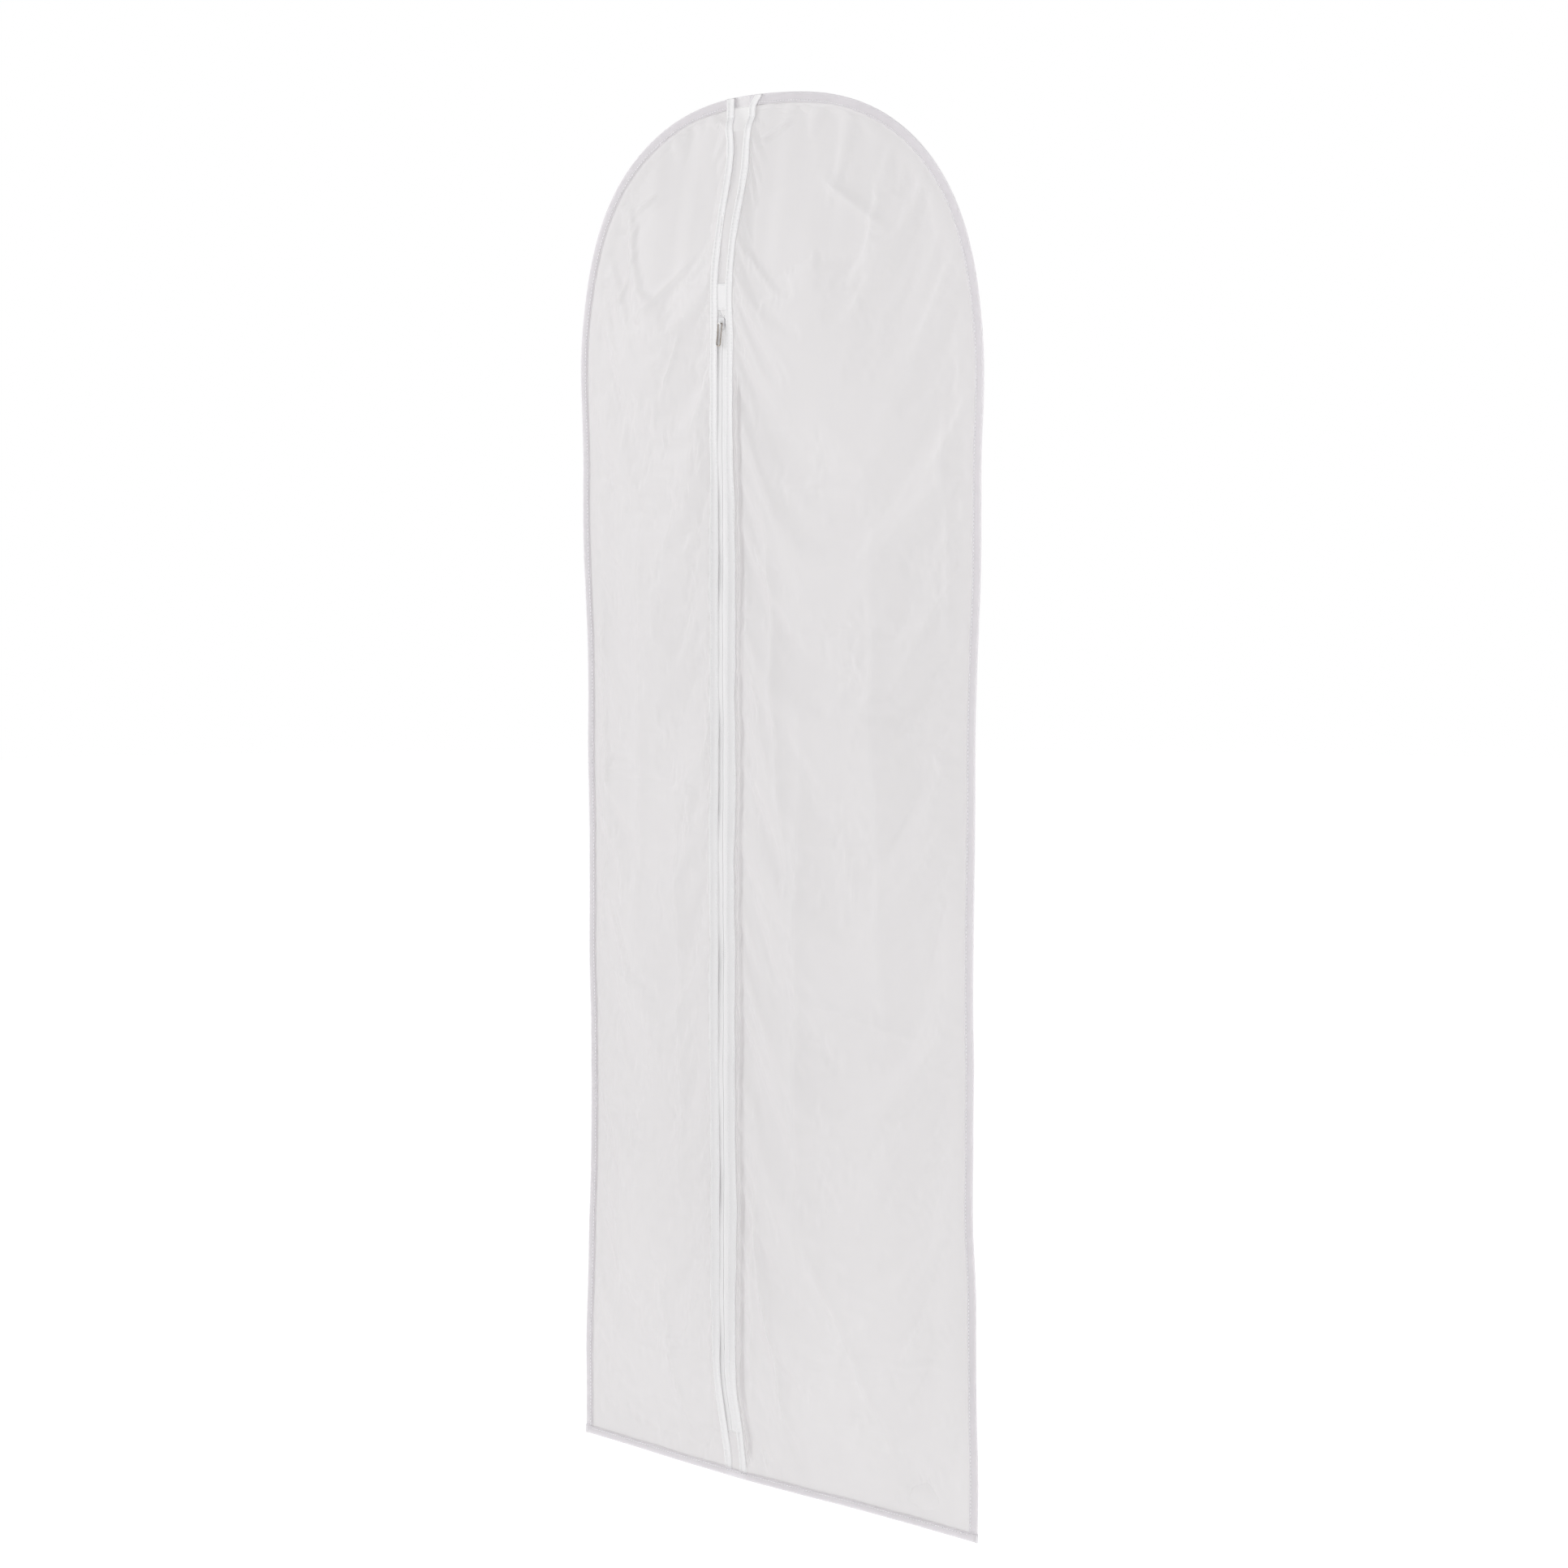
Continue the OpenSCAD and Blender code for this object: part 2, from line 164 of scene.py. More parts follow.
def rise(t):
    """How a panel rises from its seam at t = 0: steeply at first, then level."""
    return 1 - (1 - t) ** 2.2


def ripple(z, phase, size=0.5 * MM, wave=0.085):
    """A gentle, uneven waver along the slot."""
    slow = np.sin(2 * np.pi * z / wave + phase)
    long = np.sin(2 * np.pi * z / (wave * 2.7) + 1.7 * phase)
    return size * (0.6 * slow + long)


def ribbon_in(z):
    """How far the ribbons' inner edges stand from the zip line."""
    spread = smooth((z + 1.6 * OPENING_H) / (1.2 * OPENING_H))
    return (SLOT_W + (OPENING_W - SLOT_W) * spread) / 2


def ribbon_out(z):
    """How far the ribbons' outer edges stand from the zip line."""
    return ribbon_in(z) + RIBBON_W


# ---------------------------------------------------------------- mesh tools
def make_mesh(name, points, faces, material, smooth_faces=True):
    """A new object in the scene from points and faces."""
    mesh = bpy.data.meshes.new(name)
    mesh.from_pydata([tuple(p) for p in points], [], [tuple(f) for f in faces])
    mesh.validate()
    mesh.polygons.foreach_set("use_smooth", [smooth_faces] * len(mesh.polygons))
    piece = bpy.data.objects.new(name, mesh)
    bpy.context.scene.collection.objects.link(piece)
    mesh.materials.append(material)
    return piece


def tidy_mesh(piece, distance=0.02 * MM):
    """Joins points that lie together and points every face outwards."""
    work = bmesh.new()
    work.from_mesh(piece.data)
    bmesh.ops.remove_doubles(work, verts=work.verts, dist=distance)
    bmesh.ops.dissolve_degenerate(work, edges=work.edges, dist=distance)
    bmesh.ops.recalc_face_normals(work, faces=work.faces)
    work.to_mesh(piece.data)
    work.free()
    piece.data.update()
    return piece


def grid_faces(rows, columns):
    """The quads of a grid of points stored row by row."""
    k, j = np.meshgrid(np.arange(rows - 1), np.arange(columns - 1), indexing="ij")
    a = (k * columns + j).ravel()
    return np.stack([a, a + 1, a + columns + 1, a + columns], axis=1)


def tube_faces(rows, ring, closed_ends=True):
    """The faces of rings of points joined into a tube."""
    faces = []
    for k in range(rows - 1):
        for i in range(ring):
            a, b = k * ring + i, k * ring + (i + 1) % ring
            faces.append((a, b, b + ring, a + ring))
    if closed_ends:
        faces.append(tuple(range(ring - 1, -1, -1)))
        faces.append(tuple((rows - 1) * ring + i for i in range(ring)))
    return faces


def finish_piece(piece, body, slot_name, *nodes):
    """Rides a piece on its body and hides the CAD nodes it stands for. The slot name is not used.
    """
    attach(piece, body)
    if nodes:
        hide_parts(*nodes)
    return piece


# ---------------------------------------------------------------- materials
class Nodes:
    """A small helper that builds one material's node tree."""

    def __init__(self, name):
        self.material = bpy.data.materials.new(name)
        self.material.use_nodes = True
        self.tree = self.material.node_tree
        self.tree.nodes.clear()
        self.out = self.tree.nodes.new("ShaderNodeOutputMaterial")
        self.object_space = self.add("ShaderNodeTexCoord").outputs["Object"]

    def add(self, kind, **settings):
        node = self.tree.nodes.new(kind)
        for key, value in settings.items():
            setattr(node, key, value)
        return node

    def set(self, node, **values):
        """Sets or links a node's inputs, whose names are given with _ for a space."""
        for key, value in values.items():
            socket = node.inputs[key.replace("_", " ")]
            if isinstance(value, bpy.types.NodeSocket):
                self.tree.links.new(value, socket)
            else:
                socket.default_value = value
        return node

    def stretched(self, x, y, z):
        """Object coordinates scaled along each axis."""
        mapping = self.set(self.add("ShaderNodeMapping"), Vector=self.object_space)
        mapping.inputs["Scale"].default_value = (x, y, z)
        return mapping.outputs["Vector"]

    def noise(self, vector, scale, detail=3.0, roughness=0.55):
        node = self.set(
            self.add("ShaderNodeTexNoise"),
            Vector=vector, Scale=scale, Detail=detail, Roughness=roughness,
        )
        return node.outputs["Fac"]

    def math(self, operation, first, second=0.0):
        node = self.add("ShaderNodeMath", operation=operation)
        for socket, value in zip(node.inputs, (first, second)):
            if isinstance(value, bpy.types.NodeSocket):
                self.tree.links.new(value, socket)
            else:
                socket.default_value = value
        return node.outputs[0]

    def ramp(self, value, stops):
        node = self.add("ShaderNodeValToRGB")
        self.tree.links.new(value, node.inputs["Fac"])
        elements = node.color_ramp.elements
        for element, (place, colour) in zip(elements, stops[:2]):
            element.position, element.color = place, (*colour, 1)
        for place, colour in stops[2:]:
            elements.new(place).color = (*colour, 1)
        return node.outputs["Color"]

    def range(self, value, low, high):
        """A value from 0 to 1 spread from low to high."""
        node = self.set(self.add("ShaderNodeMapRange"), Value=value, To_Min=low, To_Max=high)
        return node.outputs["Result"]

    def bump(self, height, strength, distance, normal=None):
        node = self.set(
            self.add("ShaderNodeBump"), Height=height, Strength=strength, Distance=distance
        )
        if normal is not None:
            self.set(node, Normal=normal)
        return node.outputs["Normal"]

    def done(self, shader):
        self.tree.links.new(shader, self.out.inputs["Surface"])
        return self.material


def film_material(name, clear, tint, lit_through=0.5):
    """Frosted film: part see-through, part milky, with a satin face and an embossed grain."""
    n = Nodes(name)
    grain = n.noise(n.stretched(1, 1, 1), 1500, 2, 0.5)
    crinkle = n.noise(n.stretched(1, 1, 0.4), 30, 4, 0.55)
    cloud = n.noise(n.stretched(1, 1, 0.4), 5, 2, 0.5)
    normal = n.bump(crinkle, 0.22, 1.2 * MM)
    normal = n.bump(grain, 0.3, 0.1 * MM, normal)
    colour = n.ramp(cloud, [(0.3, [c * 0.97 for c in tint]), (0.7, tint)])
    face = n.set(
        n.add("ShaderNodeBsdfPrincipled"),
        Base_Color=colour, Roughness=n.range(crinkle, 0.5, 0.64), IOR=1.45, Normal=normal,
    )
    glow = n.set(n.add("ShaderNodeBsdfTranslucent"), Color=colour, Normal=normal)
    milky = n.set(n.add("ShaderNodeMixShader"), Fac=lit_through)
    n.tree.links.new(face.outputs[0], milky.inputs[1])
    n.tree.links.new(glow.outputs[0], milky.inputs[2])
    see = n.add("ShaderNodeBsdfTransparent")
    edge_on = n.set(n.add("ShaderNodeLayerWeight"), Blend=0.4, Normal=normal)
    solid = n.range(edge_on.outputs["Facing"], 1 - clear, 1.0)
    mix = n.set(n.add("ShaderNodeMixShader"), Fac=solid)
    n.tree.links.new(see.outputs[0], mix.inputs[1])
    n.tree.links.new(milky.outputs[0], mix.inputs[2])
    return n.done(mix.outputs[0])


def woven_material(name, colour, rib_scale, shade=0.93):
    """White woven ribbon or tape: fine crosswise ribs and lengthwise yarns."""
    n = Nodes(name)
    ribs = n.set(
        n.add("ShaderNodeTexWave", wave_type="BANDS", bands_direction="Z"),
        Vector=n.object_space, Scale=rib_scale, Distortion=0.6, Detail=1.0,
    )
    yarns = n.set(
        n.add("ShaderNodeTexWave", wave_type="BANDS", bands_direction="X"),
        Vector=n.object_space, Scale=rib_scale * 0.8, Distortion=0.5, Detail=1.0,
    )
    weave = n.math("MULTIPLY", ribs.outputs["Fac"], yarns.outputs["Fac"])
    patchy = n.noise(n.stretched(1, 1, 0.3), 60, 3)
    tone = n.math("ADD", n.math("MULTIPLY", weave, 0.6), n.math("MULTIPLY", patchy, 0.5))
    shaded = [c * shade for c in colour]
    body = n.set(
        n.add("ShaderNodeBsdfPrincipled"),
        Base_Color=n.ramp(tone, [(0.1, shaded), (0.8, colour)]),
        Roughness=n.range(patchy, 0.55, 0.75),
        Sheen_Weight=0.25,
        Normal=n.bump(weave, 0.4, 0.12 * MM),
    )
    body.inputs["Sheen Roughness"].default_value = 0.4
    return n.done(body.outputs[0])


def nylon_painted_shade_material():
    """Smooth white nylon monofilament, tinted light grey as painted shade so the chain reads as
    the shaded lines of its grooves.
    """
    n = Nodes("nylon")
    spots = n.noise(n.stretched(1, 1, 1), 300, 2)
    # painted shade: this grey ramp stands for the shade in the chain's grooves and is darker than
    # the nylon's own white
    body = n.set(
        n.add("ShaderNodeBsdfPrincipled"),
        Base_Color=n.ramp(spots, [(0.2, (0.54, 0.535, 0.545)), (0.8, (0.64, 0.635, 0.645))]),
        Roughness=n.range(spots, 0.25, 0.4),
        Normal=n.bump(spots, 0.1, 0.05 * MM),
    )
    return n.done(body.outputs[0])


def thread_material():
    """Twisted sewing thread."""
    n = Nodes("thread")
    twist = n.set(
        n.add("ShaderNodeTexWave", wave_type="BANDS", bands_direction="DIAGONAL"),
        Vector=n.object_space, Scale=1500.0,
    )
    body = n.set(
        n.add("ShaderNodeBsdfPrincipled"),
        Base_Color=n.ramp(twist.outputs["Fac"], [(0, (0.8, 0.8, 0.82)), (1, (0.93, 0.93, 0.94))]),
        Roughness=0.6,
        Normal=n.bump(twist.outputs["Fac"], 0.5, 0.06 * MM),
    )
    return n.done(body.outputs[0])


def enamel_material():
    """The slider's white enamel, with a fine uneven wear spread over it."""
    n = Nodes("enamel")
    wear = n.noise(n.stretched(1, 1, 1), 900, 4)
    body = n.set(
        n.add("ShaderNodeBsdfPrincipled"),
        Base_Color=n.ramp(wear, [(0.25, (0.66, 0.66, 0.67)), (0.5, (0.8, 0.8, 0.81))]),
        Roughness=n.range(wear, 0.2, 0.38),
        Coat_Weight=0.4,
        Normal=n.bump(wear, 0.08, 0.05 * MM),
    )
    return n.done(body.outputs[0])


def nickel_material():
    """Warm nickel-plated wire."""
    n = Nodes("nickel")
    brushed = n.noise(n.stretched(1, 1, 0.2), 1800, 3)
    body = n.set(
        n.add("ShaderNodeBsdfPrincipled"),
        Base_Color=n.ramp(brushed, [(0.2, (0.30, 0.26, 0.22)), (0.8, (0.46, 0.41, 0.36))]),
        Metallic=1.0,
        Roughness=n.range(brushed, 0.2, 0.36),
        Normal=n.bump(brushed, 0.15, 0.04 * MM),
    )
    return n.done(body.outputs[0])


FILM = film_material("film", 0.44, (0.838, 0.822, 0.828))
BINDING = film_material("binding_film", 0.62, (0.97, 0.957, 0.975), 0.6)
RIBBON = woven_material("ribbon_weave", (0.84, 0.833, 0.84), 420, 0.94)
TAPE = woven_material("tape_weave", (0.83, 0.823, 0.83), 300, 0.93)
NYLON_PAINTED_SHADE = nylon_painted_shade_material()
THREAD = thread_material()
ENAMEL = enamel_material()
NICKEL = nickel_material()


# ---------------------------------------------------------------- how the bag hangs
def uneven(x, z, seed, size, scale_x, scale_z):
    """Smooth uneven undulation with its own scale across and down the bag."""
    x, z = np.broadcast_arrays(x, z)
    values = [
        noise.noise(Vector((a / scale_x, b / scale_z, seed))) for a, b in zip(x.ravel(), z.ravel())
    ]
    return size * np.array(values).reshape(x.shape)


def slot_turn(x, y, z):
    """The ribbons turn a little towards +X along the zip's middle: the left one's outer
    edge stands forward and the right one's back, and the film beside them follows."""
    amount = SLOT_TURN * smooth((-0.30 - z) / 0.2) * smooth((z + 1.45) / 0.15)
    beyond = np.abs(x) - SLOT_W / 2
    reach = np.clip(beyond, 0, RIBBON_W) * (1 - smooth((beyond - RIBBON_W) / (60 * MM)))
    front = smooth((-y - 8 * MM) / (14 * MM))
    return np.sign(x) * amount * reach * front


def hang(points):
    """Flat-seamed points (x, y, z) as the filled bag hangs: its sides are drawn in at
    half height, its seams waver out of their plane, its ribbons turn a little, and its
    foot bows forward."""
    points = np.asarray(points, float).reshape(-1, 3)
    x, y, z = points.T
    aside = smooth((np.abs(x) - 30 * MM) / (100 * MM))
    draw = DRAW_IN * smooth((-0.33 - z) / 0.40) * smooth((z + 1.46) / 0.38)
    dent = uneven(np.sign(x - MIDDLE_X), z, 5.0, SEAM_WAVER, 1.0, 0.11) * aside
    waver = uneven(x, z, 7.0, SEAM_WAVER, 0.35, 0.16) * aside * smooth((APEX_Z - z) / 0.1)
    bow = FOOT_BOW * smooth((STRAIGHT_LOW_Z - z) / 0.12) * np.exp(-((x / 0.13) ** 2))
    reach = np.abs(x - MIDDLE_X) / HALF_W
    new_x = MIDDLE_X + (x - MIDDLE_X) * (1 - draw * aside) + dent * reach**6
    return np.stack([new_x, y + slot_turn(x, y, z) + waver - bow, z], axis=1)


# ---------------------------------------------------------------- film panels
# How much larger than its place each film is cut, the furthest that it may buckle,
# and the number of frames that it is given to do so
SLACK = 0.007
BUCKLE = 8 * MM
FRAMES = 18

# The tuck beside the right ribbon, and the ridge of film beside the tuck
TUCK_DEPTH = 11 * MM
TUCK_RIDGE = 3.0 * MM

# Soft folds and sharp creases on each front panel: start (x, z), end (x, z), width, height
FOLDS = {
    1: [
        ((0.024, -0.056), (0.085, -0.028), 1.8 * MM, 2.6 * MM),
        ((0.060, -0.40), (0.105, -0.86), 10 * MM, 4.0 * MM),
        ((0.125, -0.62), (0.115, -1.30), 16 * MM, 4.4 * MM),
        ((0.030, -1.16), (0.110, -1.49), 5 * MM, 4.2 * MM),
        ((0.055, -1.12), (0.040, -1.44), 8 * MM, 3.4 * MM),
        ((0.110, -1.20), (0.260, -1.47), 10 * MM, 3.6 * MM),
        ((0.215, -0.40), (0.245, -1.05), 20 * MM, 4.6 * MM),
        ((0.160, -1.356), (0.330, -1.338), 2.0 * MM, 2.0 * MM),
        ((0.100, -1.372), (0.215, -1.362), 1.8 * MM, 1.6 * MM),
        ((0.080, -0.425), (0.190, -0.412), 2.0 * MM, 1.7 * MM),
        ((0.120, -0.965), (0.300, -1.000), 3.0 * MM, 2.2 * MM),
        ((0.030, -1.492), (0.075, -1.505), 2.0 * MM, 2.4 * MM),
        ((0.045, -1.480), (0.052, -1.512), 1.8 * MM, 2.0 * MM),
        ((0.240, -0.155), (0.120, -0.085), 8 * MM, 3.4 * MM),
        ((0.300, -0.30), (0.325, -0.62), 9 * MM, 2.6 * MM),
    ],
    -1: [
        ((-0.225, -0.52), (-0.205, -0.80), 6 * MM, 3.4 * MM),
        ((-0.205, -0.78), (-0.232, -0.98), 6 * MM, 3.0 * MM),
        ((-0.130, -0.40), (-0.150, -1.00), 16 * MM, 3.8 * MM),
        ((-0.075, -0.70), (-0.060, -1.30), 12 * MM, 3.4 * MM),
        ((-0.170, -1.05), (-0.200, -1.42), 13 * MM, 3.4 * MM),
        ((-0.115, -1.28), (-0.060, -1.49), 7 * MM, 3.0 * MM),
        ((-0.040, -0.165), (-0.150, -0.240), 6 * MM, 3.0 * MM),
        ((-0.165, -0.12), (-0.120, -0.100), 2.5 * MM, 2.2 * MM),
        ((-0.150, -0.155), (-0.190, -0.235), 3 * MM, 2.4 * MM),
        ((-0.060, -0.245), (-0.100, -0.330), 3 * MM, 2.0 * MM),
        ((-0.235, -0.960), (-0.120, -0.985), 3 * MM, 2.0 * MM),
    ],
}


def crease(x, z, start, end, width, height, sharp=1.3):
    """A ridge from start to end, (x, z) each, that fades out at both ends."""
    ax, az = start
    dx, dz = end[0] - ax, end[1] - az
    along = ((x - ax) * dx + (z - az) * dz) / (dx * dx + dz * dz)
    away = np.abs((x - ax) * dz - (z - az) * dx) / math.hypot(dx, dz)
    ends = smooth(along / 0.3) * smooth((1 - along) / 0.3)
    return height * ends * np.exp(-((away / width) ** sharp))


def half_grid(side, top_x, end_x, depth, extra, across, crowd=1.0, down=130, over=54):
    """A grid of points (x, depth, z) over half a panel, from the binding inwards, and how
    far across each is, from 0 at the fold beside the binding to 1 at the inner edge, where
    the columns crowd together."""
    low = np.concatenate([[HEM_Z + 1.5 * MM], np.linspace(HEM_TOP_Z, SPRING_Z, down)])
    t_over = np.linspace(0, 1, over + 1)[1:]
    start = 0 if side > 0 else 180
    inset_edge = 1.5 * MM

    def edge_line(inset):
        angles = start + (arch_angle(top_x, inset) - start) * t_over
        x, z = arch_point(angles, inset)
        straight = np.full(len(low), MIDDLE_X + side * (HALF_W - inset))
        return np.concatenate([straight, x]), np.concatenate([low, z])

    edge_x, edge_z = edge_line(inset_edge)
    fold_x, fold_z = edge_line(FOLD_INSET)
    inner_z = np.concatenate([low, SPRING_Z + (fold_z[-1] - SPRING_Z) * t_over])
    inner_x = end_x(inner_z)
    t = 1 - (1 - np.linspace(0, 1, across)) ** crowd
    x = fold_x[:, None] + (inner_x - fold_x)[:, None] * t
    z = fold_z[:, None] + (inner_z - fold_z)[:, None] * t
    d = depth(inner_z)[:, None] * rise(t) + extra(inner_z)[:, None] * 4 * t * (1 - t)
    band = np.linspace(0, 1, 3)[:-1]
    band_x = edge_x[:, None] + (fold_x - edge_x)[:, None] * band
    band_z = edge_z[:, None] + (fold_z - edge_z)[:, None] * band
    x = np.concatenate([band_x, x], axis=1)
    z = np.concatenate([band_z, z], axis=1)
    d = np.concatenate([np.zeros_like(band_x), d], axis=1)
    t = np.concatenate([np.zeros(2), t])
    return np.stack([x, d, z], axis=2), np.broadcast_to(t, x.shape).copy()


def finer(grid):
    """A grid with twice the rows and columns, on smooth curves through the old points."""
    for axis in (0, 1):
        rows = np.moveaxis(grid, axis, 0)
        a, b = rows[:-1], rows[1:]
        before = np.concatenate([rows[:1], rows[:-2]])
        after = np.concatenate([rows[2:], rows[-1:]])
        new = np.empty((2 * len(rows) - 1, *rows.shape[1:]))
        new[0::2] = rows
        new[1::2] = (9 * (a + b) - before - after) / 16
        grid = np.moveaxis(new, 0, axis)
    return grid


def slacken(grid, held, room, grow, frames):
    """Lets a grid of film buckle as cloth that is cut a little large and held at its seams.
    No point moves further than room."""
    piece = make_mesh("slack", grid.reshape(-1, 3), grid_faces(*grid.shape[:2]), FILM)
    group = piece.vertex_groups.new(name="held")
    group.add([int(i) for i in np.flatnonzero(held.ravel())], 1.0, "REPLACE")
    cloth = piece.modifiers.new("slack", "CLOTH")
    settings = cloth.settings
    settings.vertex_group_mass = "held"
    settings.quality = 5
    settings.mass = 0.1
    settings.tension_stiffness = settings.compression_stiffness = 40
    settings.shear_stiffness = 20
    settings.bending_stiffness = 0.12
    settings.air_damping = 3
    settings.shrink_min = -grow
    settings.effector_weights.gravity = 0.3
    cloth.collision_settings.use_collision = False
    cloth.point_cache.frame_start, cloth.point_cache.frame_end = 1, frames + 1
    for frame_number in range(1, frames + 1):
        bpy.context.scene.frame_set(frame_number)
    ready = piece.evaluated_get(bpy.context.evaluated_depsgraph_get())
    flat = np.empty(grid.size, np.float32)
    ready.data.vertices.foreach_get("co", flat)
    moved = flat.reshape(grid.shape) - grid
    length = np.linalg.norm(moved, axis=2)
    moved *= (room / np.maximum(np.maximum(room, length), 1e-9))[..., None]
    bpy.data.objects.remove(piece)
    bpy.context.scene.frame_set(1)
    return grid + moved


def film_piece(name, grid, node):
    """A film panel made from its finished grid of points."""
    piece = make_mesh(name, hang(grid), grid_faces(*grid.shape[:2]), FILM)
    tidy_mesh(piece, 0.005 * MM)
    return finish_piece(piece, "root", "film", node)


def film_room(depth):
    """How far a film may move from its first shape: little near its seams."""
    return np.minimum(BUCKLE, 0.42 * depth + 1.0 * MM)


def front_film(side):
    """One front panel: slack film, creases, and the tuck beside the right ribbon."""
    grid, t = half_grid(
        side, side * SLOT_TOP_X, lambda z: side * (ribbon_out(z) - 3 * MM), slot_depth, swell,
        across=72 if side > 0 else 58, crowd=1.3,
    )
    x, d, z = grid[..., 0], grid[..., 1], grid[..., 2]
    depth = d.copy()
    free = smooth(t / 0.12) * smooth((z - HEM_TOP_Z) / 0.04) * smooth((1 - t) / 0.1)
    d = d + free * (
        uneven(x, z, 3.1 * side, 3.4 * MM, 0.06, 0.40)
        + uneven(x, z, 11.3 * side, 1.6 * MM, 0.03, 0.14)
    )
    held = (t <= 0) | (z <= HEM_TOP_Z) | (t > 0.985)
    held[-1] = True
    sheet = slacken(np.stack([x, -d, z], axis=2), held, film_room(depth) * free, SLACK, FRAMES)
    sheet, t = finer(sheet), finer(t[..., None])[..., 0]
    x, y, z = sheet[..., 0], sheet[..., 1], sheet[..., 2]
    inside = smooth(t / 0.1) * smooth((z - HEM_TOP_Z) / 0.03)
    free = inside * smooth((1 - t) / 0.05)
    for start, end, width, height in FOLDS[side]:
        y = y - free * crease(x, z, start, end, width, height)
    near = smooth((t - 0.8) / 0.2)
    x = x + near * slot_shift(z, side)
    y = y + near * (ripple(z, 1.1 + side, 0.4 * MM) - 0.1 * MM) + (1 - inside) * -0.4 * MM
    if side > 0:
        gap = (x - ribbon_out(z) - slot_shift(z)) / MM
        reach = inside * smooth((-0.285 - z) / 0.05) * smooth((z - HEM_TOP_Z) / 0.03)
        wander = 7.0 + 1.5 * np.sin(z * 31) * np.sin(z * 13 + 1)
        y = y + reach * TUCK_DEPTH * np.exp(-(((gap - 2.8) / 2.1) ** 2))
        y = y - reach * TUCK_RIDGE * np.exp(-(((gap - wander) / 2.2) ** 2))
    word = "right" if side > 0 else "left"
    return film_piece(f"film_front_{word}", np.stack([x, y, z], axis=2), f"front_panel_{word}")


def back_film():
    """The back panel, one slack sheet right across."""
    left, right = [
        half_grid(
            side, MIDDLE_X, lambda z: np.full_like(z, MIDDLE_X), belly_depth,
            lambda z: np.zeros_like(z), across=58,
        )
        for side in (-1, 1)
    ]
    grid = np.concatenate([left[0], right[0][:, -2::-1]], axis=1)
    t = np.concatenate([left[1], right[1][:, -2::-1]], axis=1)
    x, d, z = grid[..., 0], grid[..., 1], grid[..., 2]
    depth = d.copy()
    free = smooth(t / 0.12) * smooth((z - HEM_TOP_Z) / 0.04)
    d = d + free * (
        uneven(x, z, 21.0, 4.0 * MM, 0.08, 0.5) + uneven(x, z, 35.0, 1.8 * MM, 0.03, 0.2)
    )
    held = (t <= 0) | (z <= HEM_TOP_Z)
    sheet = slacken(np.stack([x, d, z], axis=2), held, film_room(depth) * free, SLACK, FRAMES)
    sheet, t = finer(sheet), finer(t[..., None])[..., 0]
    inside = smooth(t / 0.1) * smooth((sheet[..., 2] - HEM_TOP_Z) / 0.03)
    sheet[..., 1] += (1 - inside) * 0.4 * MM
    return film_piece("film_back", sheet, "back_panel")


# ---------------------------------------------------------------- the slot's surface
def slot_y(z, proud=0.0, side=0):
    """The y of the slot's front face; the ripple is shared by all that is sewn there."""
    return -(slot_depth(z) + proud) + ripple(z, 1.1 + side, 0.4 * MM)


def slot_shift(z, side=0):
    """How far the slot wanders sideways and leans to the right towards its top, where the
    right ribbon also flares outwards."""
    ends = smooth((SLOT_TOP_Z - z) / 0.12) * smooth((z - HEM_TOP_Z) / 0.10)
    wander = ends * (0.7 * MM * np.sin(z * 9.1 + 0.6) + 0.4 * MM * np.sin(z * 27 + 2))
    flare = TOP_FLARE * smooth((z + 18 * MM) / (20 * MM)) ** 2 if side > 0 else 0.0
    return wander + TOP_LEAN * smooth((z + 0.16) / 0.11) + flare


def ribbon_y(z, side, proud=0.8 * MM):
    """The y of a ribbon's front face, which passes over the binding at the top."""
    over = 1.5 * MM * smooth((z - SLOT_TOP_Z + 10 * MM) / (8 * MM))
    return slot_y(z, proud, side) - over


def stations(low, high, step):
    """Even places from low to high, about step apart."""
    return np.linspace(low, high, max(2, int(round((high - low) / step)) + 1))


def sweep_up(name, heights, section, material):
    """Joins closed sections, one for each height, into a solid strip.

    section(z) gives the ring of (x, y) points at height z."""
    rings = [section(z) for z in heights]
    points = hang([(x, y, z) for z, ring in zip(heights, rings) for x, y in ring])
    return tidy_mesh(make_mesh(name, points, tube_faces(len(heights), len(rings[0])), material))


def strip_section(x_low, x_high, y_front, y_back, cells=6, round_low=False, round_high=False):
    """A thin closed section, flat or with a rounded edge at either side."""
    xs = np.linspace(x_low, x_high, cells + 1)
    ring = [(x, y_front) for x in xs]
    ring += bulge(x_high, y_front, y_back, 1) if round_high else []
    ring += [(x, y_back) for x in xs[::-1]]
    ring += bulge(x_low, y_back, y_front, -1) if round_low else []
    return ring


def bulge(x, y_start, y_end, way, steps=4):
    """Points on the half circle that joins two faces at an edge."""
    middle, r = (y_start + y_end) / 2, (y_start - y_end) / 2
    turns = [math.pi * i / steps for i in range(1, steps)]
    return [(x + way * abs(r) * math.sin(a), middle + r * math.cos(a)) for a in turns]


